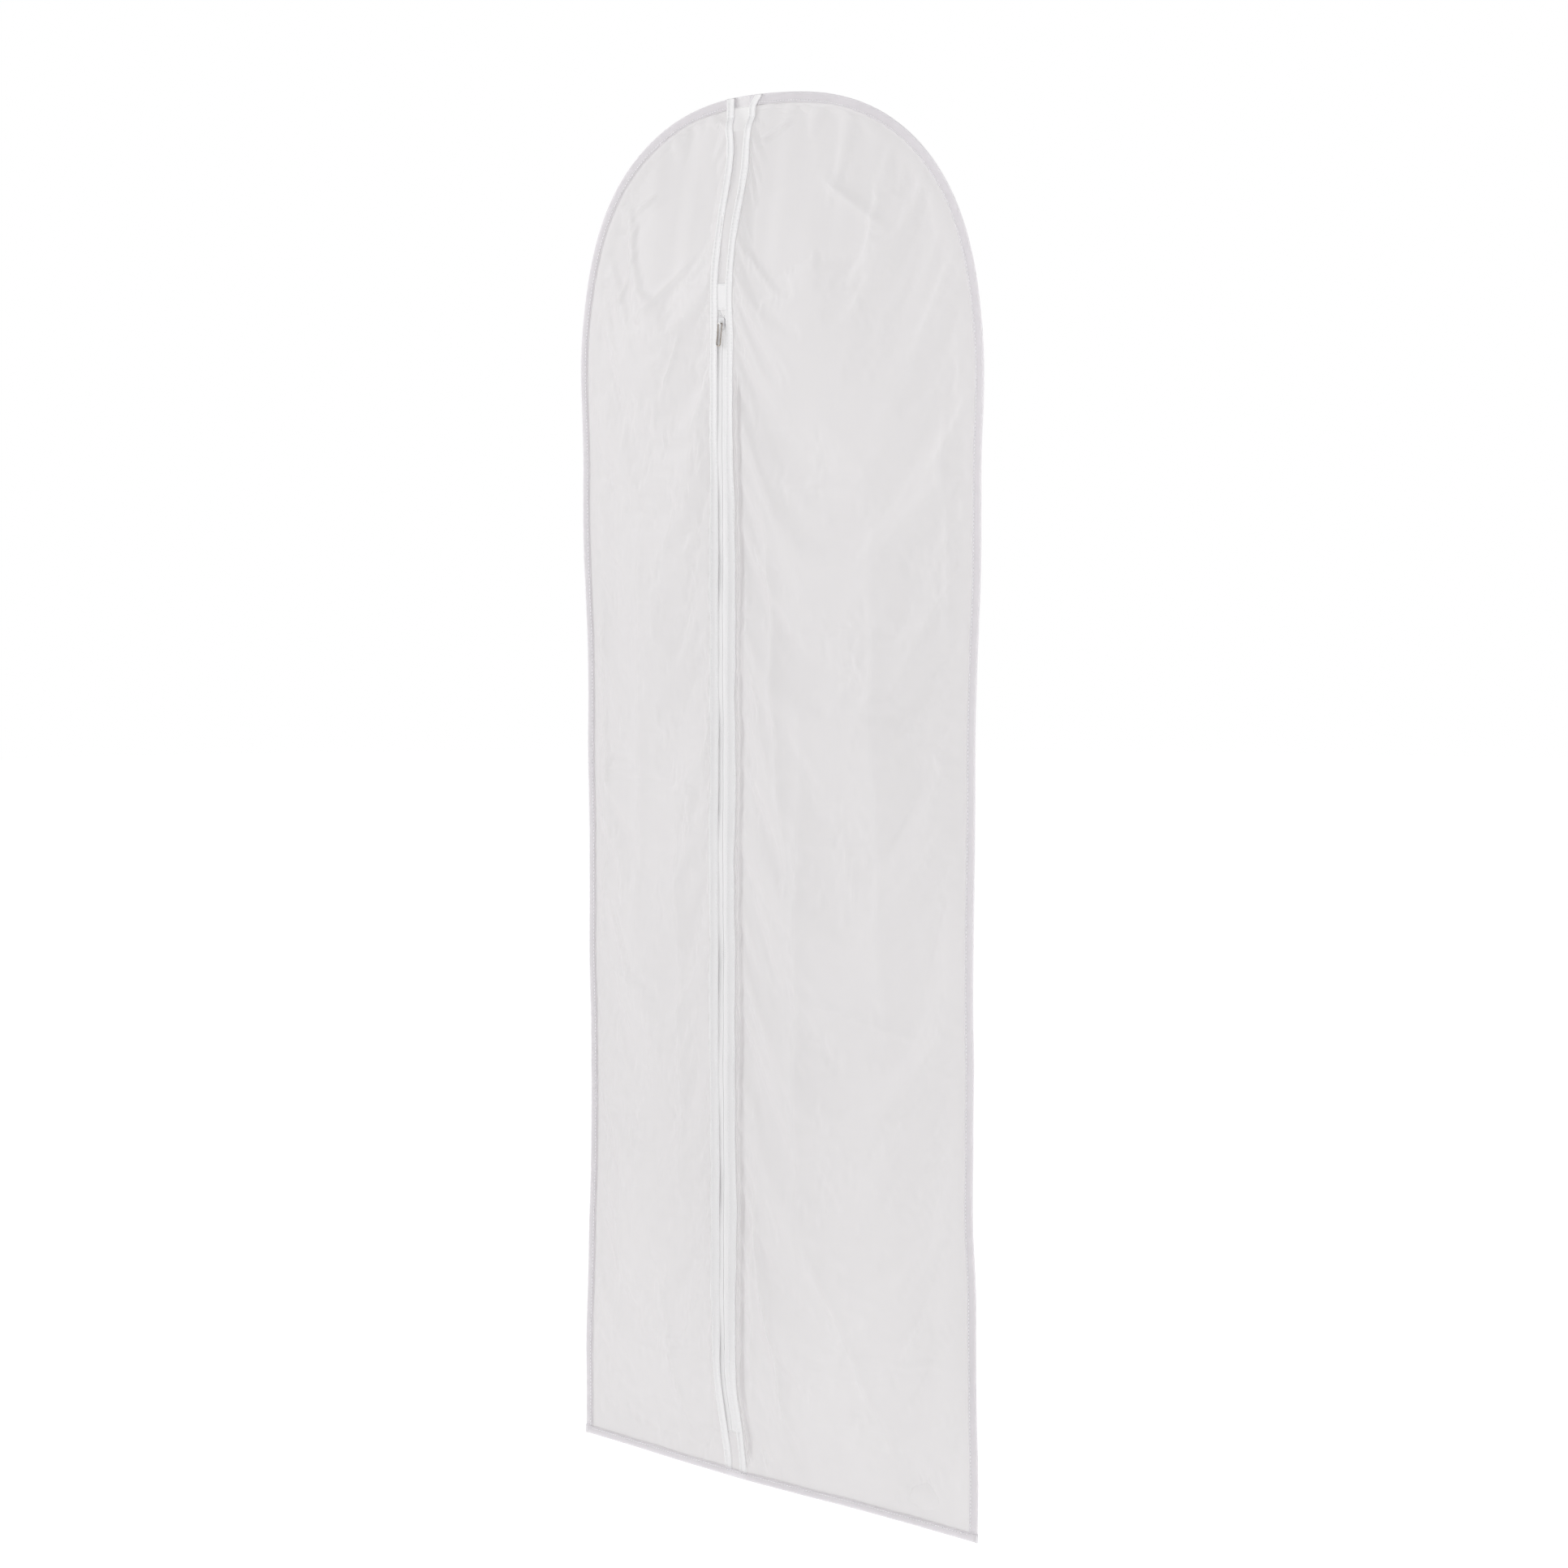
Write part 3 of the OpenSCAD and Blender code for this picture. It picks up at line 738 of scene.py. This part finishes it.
# ---------------------------------------------------------------- ribbons and windows
def slot_ribbon(side):
    """A ribbon folded over the film's cut edge, with its selvedges raised a little."""
    word = "right" if side > 0 else "left"
    top_x = side * (OPENING_W + RIBBON_W) / 2 + float(slot_shift(APEX_Z, side))
    top_z = float(arch_point(arch_angle(top_x, 0), 0)[1]) - 0.5 * MM
    heights = np.concatenate([
        stations(HEM_TOP_Z - 3 * MM, -30 * MM, 3 * MM), stations(-28.5 * MM, top_z, 1 * MM)
    ])
    across = np.linspace(0, 1, 17)

    def section(z):
        inner, outer = ribbon_in(z), ribbon_out(z)
        outer += ripple(z, 2.2 + side, 0.45 * MM, 0.06)
        # the foot is tucked in under the hem
        out = float(smooth((z - HEM_TOP_Z) / (7 * MM)))
        cup = out * (0.22 * MM * np.cos(2 * math.pi * across) + 0.15 * MM * (across > 0.94))
        fold = across if side > 0 else 1 - across
        thick = (0.6 + out * (0.15 + 0.6 * np.exp(-(((1 - fold) / 0.1) ** 2)))) * MM
        front = ribbon_y(z, side, (0.65 + 0.15 * out) * MM) - cup
        xs = side * (inner + (outer - inner) * across) + float(slot_shift(z, side))
        back = front + thick
        ring = list(zip(xs, front)) + list(zip(xs[::-1], back[::-1]))
        return [(float(x), float(y)) for x, y in ring]

    piece = sweep_up(f"ribbon_{word}", heights, section, RIBBON)
    return finish_piece(piece, "root", "ribbon", f"slot_ribbon_{word}")


def window(name, low, high, node):
    """A strip of film sewn in between the two ribbons."""
    heights = stations(low, high, 3 * MM)
    across = np.linspace(-1, 1, 13)
    reach = ribbon_in(heights) + 4 * MM
    x = across * reach[:, None] + slot_shift(heights)[:, None]
    z = np.repeat(heights[:, None], len(across), axis=1)
    sag = 0.9 * MM * (1 - across**2) * (0.5 + 0.5 * np.sin(z * 55 + across * 1.2))
    y = slot_y(heights)[:, None] + sag
    piece = make_mesh(name, hang(np.stack([x, y, z], axis=2)), grid_faces(*x.shape), FILM)
    return finish_piece(piece, "root", "film", node)


def zip_patch():
    """The woven patch over the top of the zip, its ends turned under."""
    heights = stations(PATCH_LOW.z, PATCH_HIGH.z, 1.5 * MM)

    def section(z):
        reach = float(ribbon_in(z)) + 3 * MM
        end = min(z - PATCH_LOW.z, PATCH_HIGH.z - z)
        thick = (0.5 + 0.7 * math.exp(-((end / (1.2 * MM)) ** 2))) * MM
        shift, front = float(slot_shift(z)), float(slot_y(z, 0.5 * MM))
        return [(x + shift, y) for x, y in strip_section(-reach, reach, front, front + thick)]

    piece = sweep_up("top_patch", heights, section, RIBBON)
    return finish_piece(piece, "root", "ribbon", "zip_top_patch")


# ---------------------------------------------------------------- zip
# Half the gap between the tapes where they are parted, and in the closed chain
PARTED_GAP = 4.2 * MM
CLOSED_GAP = 0.26 * MM
TAPE_REACH = 15 * MM
COIL_PITCH = 2.0 * MM


def tape_inner(z):
    """How far each tape's inner edge stands from the zip line."""
    parting = smooth((z - CHAIN_TOP_Z) / (PATCH_LOW.z - CHAIN_TOP_Z))
    return CLOSED_GAP + (PARTED_GAP - CLOSED_GAP) * parting


def zip_tape(side):
    """A woven tape with a raised cord beside the chain and one shallow rib."""
    word = "right" if side > 0 else "left"
    heights = stations(TAPE_END_Z, TAPE_HIGH.z, 3 * MM)
    across = np.linspace(0, 1, 25)

    def section(z):
        inner = tape_inner(z)
        xs = inner + (TAPE_REACH - inner) * across
        cord = 0.35 * MM * np.exp(-(((xs - inner - 3.3 * MM) / (0.45 * MM)) ** 2))
        rib = 0.18 * MM * np.exp(-(((xs - inner - 5.0 * MM) / (0.3 * MM)) ** 2))
        front = slot_y(z) + 0.1 * MM - cord - rib
        back = np.full_like(xs, slot_y(z) + 0.6 * MM)
        ring = list(zip(side * xs, front)) + list(zip(side * xs[::-1], back))
        return [(float(x), float(y)) for x, y in ring]

    piece = sweep_up(f"tape_{word}", heights, section, TAPE)
    return finish_piece(piece, "root", "zip_tape", f"zip_tape_{word}")


def zip_coil(side):
    """The nylon monofilament wound into one half of the chain."""
    word = "right" if side > 0 else "left"
    steps = 10
    turns = int((CHAIN_TOP_Z - CHAIN_END_Z) / COIL_PITCH)
    wide, deep, wire = 1.45 * MM, 0.85 * MM, 0.33 * MM
    middle_y = (COIL_LOW.y + COIL_HIGH.y) / 2
    count = turns * steps + 1
    a = np.arange(count) * 2 * math.pi / steps
    half_step = 0.5 * COIL_PITCH if side > 0 else 0
    z = CHAIN_END_Z + np.arange(count) * COIL_PITCH / steps + half_step
    ring = 5
    points = []
    for turn, height in zip(a, z):
        c, s = math.cos(turn), math.sin(turn)
        # the head of each tooth stands wider than its legs
        core = np.array([side * (1.55 * MM - wide * c), middle_y - deep * s])
        out = np.array([-side * c * deep, -s * wide])
        out = out / np.linalg.norm(out)
        for k in range(ring):
            b = 2 * math.pi * k / ring
            edge = core + out * wire * math.cos(b)
            points.append((edge[0], edge[1], height + wire * math.sin(b)))
    piece = make_mesh(f"coil_{word}", points, tube_faces(count, ring), NYLON_PAINTED_SHADE)
    return finish_piece(piece, "root", "zip_coil", f"zip_coil_{word}")


def rounded_block(name, low, high, radius, material):
    """A block with rounded edges between two corners."""
    work = bmesh.new()
    bmesh.ops.create_cube(work, size=1)
    size = Vector(high) - Vector(low)
    centre = (Vector(high) + Vector(low)) / 2
    for vertex in work.verts:
        vertex.co = Vector([vertex.co[i] * size[i] for i in range(3)]) + centre
    bmesh.ops.bevel(
        work, geom=work.edges[:], offset=radius, segments=3, profile=0.5, affect="EDGES"
    )
    mesh = bpy.data.meshes.new(name)
    work.to_mesh(mesh)
    work.free()
    mesh.polygons.foreach_set("use_smooth", [True] * len(mesh.polygons))
    mesh.materials.append(material)
    piece = bpy.data.objects.new(name, mesh)
    bpy.context.scene.collection.objects.link(piece)
    return piece


def join_pieces(pieces, name):
    """Joins several pieces into the first one."""
    work = bmesh.new()
    for piece in pieces:
        work.from_mesh(piece.data)
    first = pieces[0]
    work.to_mesh(first.data)
    work.free()
    for piece in pieces[1:]:
        bpy.data.objects.remove(piece)
    first.name = name
    return first


def zip_stops():
    """Two small moulded stops above the slider, and one across the chain's foot."""
    low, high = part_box("zip_top_stops")
    width, radius = 2.4 * MM, 0.5 * MM
    halves = [
        rounded_block("stop", (x, low.y, low.z), (x + width, high.y, high.z), radius, NYLON_PAINTED_SHADE)
        for x in (low.x, high.x - width)
    ]
    finish_piece(join_pieces(halves, "top_stops"), "root", "zip_coil", "zip_top_stops")
    low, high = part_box("zip_bottom_stop")
    foot = rounded_block("bottom_stop", low, high, 0.7 * MM, NYLON_PAINTED_SHADE)
    finish_piece(foot, "root", "zip_coil", "zip_bottom_stop")


# ---------------------------------------------------------------- bindings
def outline_path(inset, step, start_x=None, stop_x=None):
    """Points (x, z) every step along the sides and the arch, and the inward direction at
    each, from the right foot to the left, or only between two places on the arch."""
    a = np.linspace(0, 180, 721)
    ax, az = arch_point(a, inset)
    side = np.linspace(HEM_TOP_Z, SPRING_Z, 200)[:-1]
    right, left = MIDDLE_X + HALF_W - inset, MIDDLE_X - HALF_W + inset
    x = np.concatenate([np.full(len(side), right), ax, np.full(len(side), left)])
    z = np.concatenate([side, az, side[::-1]])
    run = np.concatenate([[0], np.cumsum(np.hypot(np.diff(x), np.diff(z)))])
    low, high = 0.0, run[-1]
    arch = z > SPRING_Z
    if start_x is not None:
        low = float(np.interp(-start_x, -x[arch], run[arch]))
    if stop_x is not None:
        high = float(np.interp(-stop_x, -x[arch], run[arch]))
    places = np.linspace(low, high, max(2, int(round((high - low) / step)) + 1))
    px, pz = np.interp(places, run, x), np.interp(places, run, z)
    ahead = np.interp(places + 0.5 * MM, run, x), np.interp(places + 0.5 * MM, run, z)
    behind = np.interp(places - 0.5 * MM, run, x), np.interp(places - 0.5 * MM, run, z)
    tx, tz = ahead[0] - behind[0], ahead[1] - behind[1]
    length = np.hypot(tx, tz)
    return px, pz, -tz / length, tx / length


def folded_section(width, face, thick, back_only=False):
    """A folded strip's section as (inward, y) points: round over the edge, open inwards."""
    outer_turn = [math.pi * i / 8 for i in range(9)]
    legs = np.linspace(width, face, 6)
    if back_only:
        ring = [(v, face) for v in legs[:-1]] + [(0.3 * MM, face * 0.9), (0.0, face - thick)]
        return ring + [(v, face - thick) for v in legs[::-1]]
    outside = [(v, -face) for v in legs[:-1]]
    outside += [(face - face * math.sin(a), -face * math.cos(a)) for a in outer_turn]
    outside += [(v, face) for v in legs[::-1][1:]]
    inner = face - thick
    inside = [(v, inner) for v in legs[:-1]]
    inside += [(face - inner * math.sin(a), inner * math.cos(a)) for a in outer_turn]
    inside += [(v, -inner) for v in legs[::-1][1:]]
    return outside + inside


def binding_run(path, section):
    """A folded strip along part of the outline."""
    x, z, inward_x, inward_z = path
    points = []
    for i in range(len(x)):
        # the strip's edge wavers a little and its leg puckers at the stitches
        pucker = 0.22 * MM * math.sin(i * 1.9) + 0.3 * MM * math.sin(i * 0.31)
        for inward, y in section:
            inner = inward / BIND_W
            v = inward + pucker * inner
            points.append((
                x[i] + inward_x[i] * v,
                y * (1 + 0.12 * inner * math.sin(i * 1.3)),
                z[i] + inward_z[i] * v,
            ))
    return list(hang(points)), tube_faces(len(x), len(section))


def edge_binding():
    """The strip folded over the sides and the arch; its front leg stops at the opening."""
    full = folded_section(BIND_W, BIND_FACE, BIND_FILM)
    back = folded_section(BIND_W, BIND_FACE, BIND_FILM, back_only=True)
    right, left = TOP_LEAN + OPENING_W / 2, TOP_LEAN - OPENING_W / 2
    runs = [
        (outline_path(0, 5 * MM, None, right), full),
        (outline_path(0, 5 * MM, right, left), back),
        (outline_path(0, 5 * MM, left, None), full),
    ]
    points, faces = [], []
    for path, section in runs:
        new_points, new_faces = binding_run(path, section)
        faces += [tuple(i + len(points) for i in face) for face in new_faces]
        points += new_points
    piece = tidy_mesh(make_mesh("binding_edge", points, faces, BINDING))
    return finish_piece(piece, "root", "binding", "edge_binding")


def hem_binding():
    """The strip folded up over the foot of the bag."""
    section = folded_section(HEM_TOP_Z - HEM_Z, BIND_FACE, BIND_FILM)
    count = 124
    x = np.linspace(MIDDLE_X - HALF_W, MIDDLE_X + HALF_W, count)
    path = x, np.full(count, HEM_Z), np.zeros(count), np.ones(count)
    piece = make_mesh("binding_hem", *binding_run(path, section), BINDING)
    tidy_mesh(piece)
    return finish_piece(piece, "root", "binding", "hem_binding")


# ---------------------------------------------------------------- stitches
def stitch_row(route, normal_y, pitch=4 * MM, length=3.1 * MM, thick=0.28 * MM):
    """Points and faces of a row of stitches along a route of (x, y, z) points."""
    route = hang(route)
    run = np.concatenate([[0], np.cumsum(np.linalg.norm(np.diff(route, axis=0), axis=1))])
    points, faces = [], []
    for start in np.arange(0, run[-1] - length, pitch):
        places = start + np.linspace(0, length, 5)
        spots = np.stack([np.interp(places, run, route[:, i]) for i in range(3)], axis=1)
        along = spots[-1] - spots[0]
        along /= np.linalg.norm(along)
        up = np.array([0, normal_y, 0])
        aside = np.cross(along, up)
        base = len(points)
        for spot, size, sink in zip(spots, (0.5, 0.95, 1, 0.95, 0.5), (1, 0.25, 0, 0.25, 1)):
            middle = spot + up * (0.7 - 1.3 * sink) * thick
            for k in range(6):
                a = math.pi * k / 3
                ring = (aside * math.cos(a) + up * math.sin(a)) * size * thick
                points.append(middle + ring)
        faces += [tuple(i + base for i in face) for face in tube_faces(5, 6)]
    return points, faces


def stitches(name, rows, node):
    """One piece of thread made from several rows of stitches."""
    points, faces = [], []
    for row_points, row_faces in rows:
        faces += [tuple(i + len(points) for i in face) for face in row_faces]
        points += row_points
    piece = make_mesh(name, points, faces, THREAD)
    return finish_piece(piece, "root", "thread", node)


def edge_stitches():
    """Both faces of the binding's seam."""
    rows = []
    right, left = TOP_LEAN + 12.5 * MM, TOP_LEAN - 12.5 * MM
    for way, spans in ((-1, [(None, right), (left, None)]), (1, [(None, None)])):
        for start, stop in spans:
            x, z, _, _ = outline_path(BIND_W - SEAM_INSET, 3 * MM, start, stop)
            y = np.full_like(x, way * STITCH_Y)
            rows.append(stitch_row(np.stack([x, y, z], axis=1), way))
    return stitches("stitches_edge", rows, "edge_thread")


def hem_stitches():
    """The hem's seam, on both faces."""
    rows = []
    for way in (-1, 1):
        x = np.linspace(MIDDLE_X - HALF_W + BIND_W, MIDDLE_X + HALF_W - BIND_W, 120)
        z = np.full_like(x, HEM_TOP_Z - SEAM_INSET)
        y = np.full_like(x, way * STITCH_Y)
        rows.append(stitch_row(np.stack([x, y, z], axis=1), way))
    return stitches("stitches_hem", rows, "hem_thread")


def ribbon_stitches(side):
    """The two rows that hold a ribbon, one beside each edge."""
    word = "right" if side > 0 else "left"
    z = stations(HEM_TOP_Z - 3 * MM, -5 * MM, 3 * MM)
    rows = []
    for inset in (2.0 * MM, 8.4 * MM):
        x = side * (ribbon_in(z) + inset) + slot_shift(z, side)
        rows.append(stitch_row(np.stack([x, ribbon_y(z, side), z], axis=1), -1))
    return stitches(f"stitches_ribbon_{word}", rows, f"ribbon_thread_{word}")


def patch_stitches():
    """A row across each end of the patch."""
    rows = []
    for z in (PATCH_LOW.z + SEAM_INSET, PATCH_HIGH.z - SEAM_INSET):
        x = np.linspace(-6 * MM, 6 * MM, 9)
        y = np.full_like(x, float(slot_y(z, 0.55 * MM)))
        shift = float(slot_shift(z))
        rows.append(stitch_row(
            np.stack([x + shift, y, np.full_like(x, z)], axis=1), -1, 2.6 * MM, 2.0 * MM
        ))
    return stitches("stitches_patch", rows, "patch_thread")


# ---------------------------------------------------------------- pull
def tube_along(name, centres, radius, material, ring=12, closed=True):
    """A round wire along points in space."""
    centres = [Vector(c) for c in centres]
    count = len(centres)
    normal = Vector((0, 1, 0))
    points = []
    for i, centre in enumerate(centres):
        ahead = centres[(i + 1) % count] if closed or i + 1 < count else centre
        behind = centres[i - 1] if closed or i else centre
        along = (ahead - behind).normalized()
        aside = along.cross(normal).normalized()
        up = aside.cross(along).normalized()
        for k in range(ring):
            a = 2 * math.pi * k / ring
            points.append(centre + radius * (aside * math.cos(a) + up * math.sin(a)))
    faces = tube_faces(count, ring, closed_ends=not closed)
    if closed:
        last = (count - 1) * ring
        faces += [(last + k, last + (k + 1) % ring, (k + 1) % ring, k) for k in range(ring)]
    return tidy_mesh(make_mesh(name, points, faces, material))


def arc(x, z, radius, angles):
    """Points (x, z) round a centre at the given angles in degrees."""
    turns = [math.radians(a) for a in angles]
    return [(x + radius * math.cos(a), z + radius * math.sin(a)) for a in turns]


def pull_loop():
    """A round-ended loop of wire, hanging askew by a few degrees from the slider's bail."""
    radius = 0.6 * MM
    half = (LOOP_HIGH.x - LOOP_LOW.x) / 2 - radius
    pivot = Vector((0, (LOOP_LOW.y + LOOP_HIGH.y) / 2, LOOP_HIGH.z - radius))
    drop = LOOP_HIGH.z - LOOP_LOW.z - 2 * radius
    corner = 1.3 * MM
    foot = -(drop - half)
    legs = list(enumerate(np.linspace(-corner, foot, 10)[1:], 1))
    waist = [0.35 * MM * math.sin(math.pi * i / 9) for i in range(len(legs) + 1)]
    path = [(x, 0.0) for x in np.linspace(-(half - corner), half - corner, 6)]
    path += arc(half - corner, -corner, corner, np.linspace(90, 0, 6)[1:])
    path += [(half - waist[i], z) for i, z in legs]
    path += arc(0, foot, half, np.linspace(0, -180, 14)[1:-1])
    path += [(-half + waist[i], z) for i, z in reversed(legs)]
    path += arc(-half + corner, -corner, corner, np.linspace(180, 90, 6)[:-1])
    askew = math.tan(math.radians(7))
    centres = []
    for x, z in path:
        free = smooth(-z / (4 * MM))
        centres.append(pivot + Vector((x + free * z * askew, 0, z)))
    piece = tube_along("wire_pull", centres, radius, NICKEL)
    return finish_piece(piece, "pull", "pull_wire", "pull_loop")


def slider():
    """The CAD slider keeps its shape, with its edges softened and enamelled."""
    body = bpy.data.objects["slider_body"]
    for slot in body.material_slots:
        slot.material = ENAMEL
    soften = body.modifiers.new("soften", "BEVEL")
    soften.width = 0.22 * MM
    soften.segments = 2
    soften.limit_method = "ANGLE"
    soften.angle_limit = math.radians(40)


# ---------------------------------------------------------------- camera, light, stage
# How bright the sky lights the bag and how bright it looks, and the floor's own glow
SKY_LIGHT = 0.30
BACKDROP = 1.0
FLOOR_GLOW = 0.86


def add_camera():
    """Looks at the bag from its right front, a little below its top and tipped down."""
    data = bpy.data.cameras.new("camera")
    data.lens = 85.4
    camera = bpy.data.objects.new("camera", data)
    bpy.context.scene.collection.objects.link(camera)
    azimuth, tip = math.radians(45), math.radians(5.7)
    distance, aside = 4.03, 0.013
    middle = Vector((MIDDLE_X, 0, -0.339))
    forward = Vector((-math.sin(azimuth), math.cos(azimuth), 0))
    right = Vector((math.cos(azimuth), math.sin(azimuth), 0))
    camera.location = middle - distance * forward
    target = middle + aside * right - Vector((0, 0, math.tan(tip) * distance))
    camera.rotation_euler = (target - camera.location).to_track_quat("-Z", "Y").to_euler()
    bpy.context.scene.camera = camera


def add_soft_light(name, place, size, power):
    """A large round lamp aimed at the middle of the bag."""
    data = bpy.data.lights.new(name, "AREA")
    data.shape, data.size, data.energy = "DISK", size, power
    light = bpy.data.objects.new(name, data)
    light.location = place
    aim = Vector((MIDDLE_X, 0, -0.7)) - Vector(place)
    light.rotation_euler = aim.to_track_quat("-Z", "Y").to_euler()
    light.visible_camera = False
    bpy.context.scene.collection.objects.link(light)


def add_world():
    """A white backdrop to the eye, and a dimmer even sky to light the bag."""
    world = bpy.data.worlds.new("studio")
    bpy.context.scene.world = world
    world.use_nodes = True
    tree = world.node_tree
    background = tree.nodes["Background"]
    background.inputs["Color"].default_value = (1, 1, 1, 1)
    seen = tree.nodes.new("ShaderNodeLightPath").outputs["Is Camera Ray"]
    strength = tree.nodes.new("ShaderNodeMapRange")
    strength.inputs["To Min"].default_value = SKY_LIGHT
    strength.inputs["To Max"].default_value = BACKDROP
    tree.links.new(seen, strength.inputs["Value"])
    tree.links.new(strength.outputs["Result"], background.inputs["Strength"])


def add_floor():
    """A round pale floor that shows as white as the backdrop."""
    radius, turns = 14.0, 64
    height = HEM_Z - 0.45
    angles = [2 * math.pi * i / turns for i in range(turns)]
    rim = [(radius * math.cos(a), radius * math.sin(a), height) for a in angles]
    n = Nodes("floor")
    tone = n.noise(n.object_space, 3)
    body = n.set(
        n.add("ShaderNodeBsdfPrincipled"),
        Base_Color=n.ramp(tone, [(0, (0.44, 0.44, 0.44)), (1, (0.46, 0.46, 0.46))]),
        Roughness=0.9,
        Emission_Color=(1, 1, 1, 1),
        Emission_Strength=FLOOR_GLOW,
    )
    make_mesh("floor", rim, [tuple(range(turns))], n.done(body.outputs[0]), False)


def add_studio():
    """Soft lamps from the left, the right front and behind, in an even pale room."""
    bpy.context.scene.view_settings.view_transform = "Standard"
    add_world()
    add_floor()
    add_soft_light("key", (-3.2, -1.5, 0.9), 1.5, 75)
    add_soft_light("fill", (3.0, -3.2, 0.9), 2.4, 55)
    add_soft_light("back", (1.8, 3.2, 0.6), 1.8, 45)


# ---------------------------------------------------------------- the scene
add_camera()
add_studio()
front_film(-1)
front_film(1)
back_film()
window("window_upper", PATCH_HIGH.z - 2 * MM, WINDOW_HIGH.z, "upper_window_strip")
window("window_lower", HEM_TOP_Z - 4 * MM, TAPE_END_Z + 2 * MM, "lower_window_strip")
for side in (-1, 1):
    slot_ribbon(side)
    zip_tape(side)
    zip_coil(side)
    ribbon_stitches(side)
zip_patch()
zip_stops()
edge_binding()
hem_binding()
edge_stitches()
hem_stitches()
patch_stitches()
slider()
pull_loop()
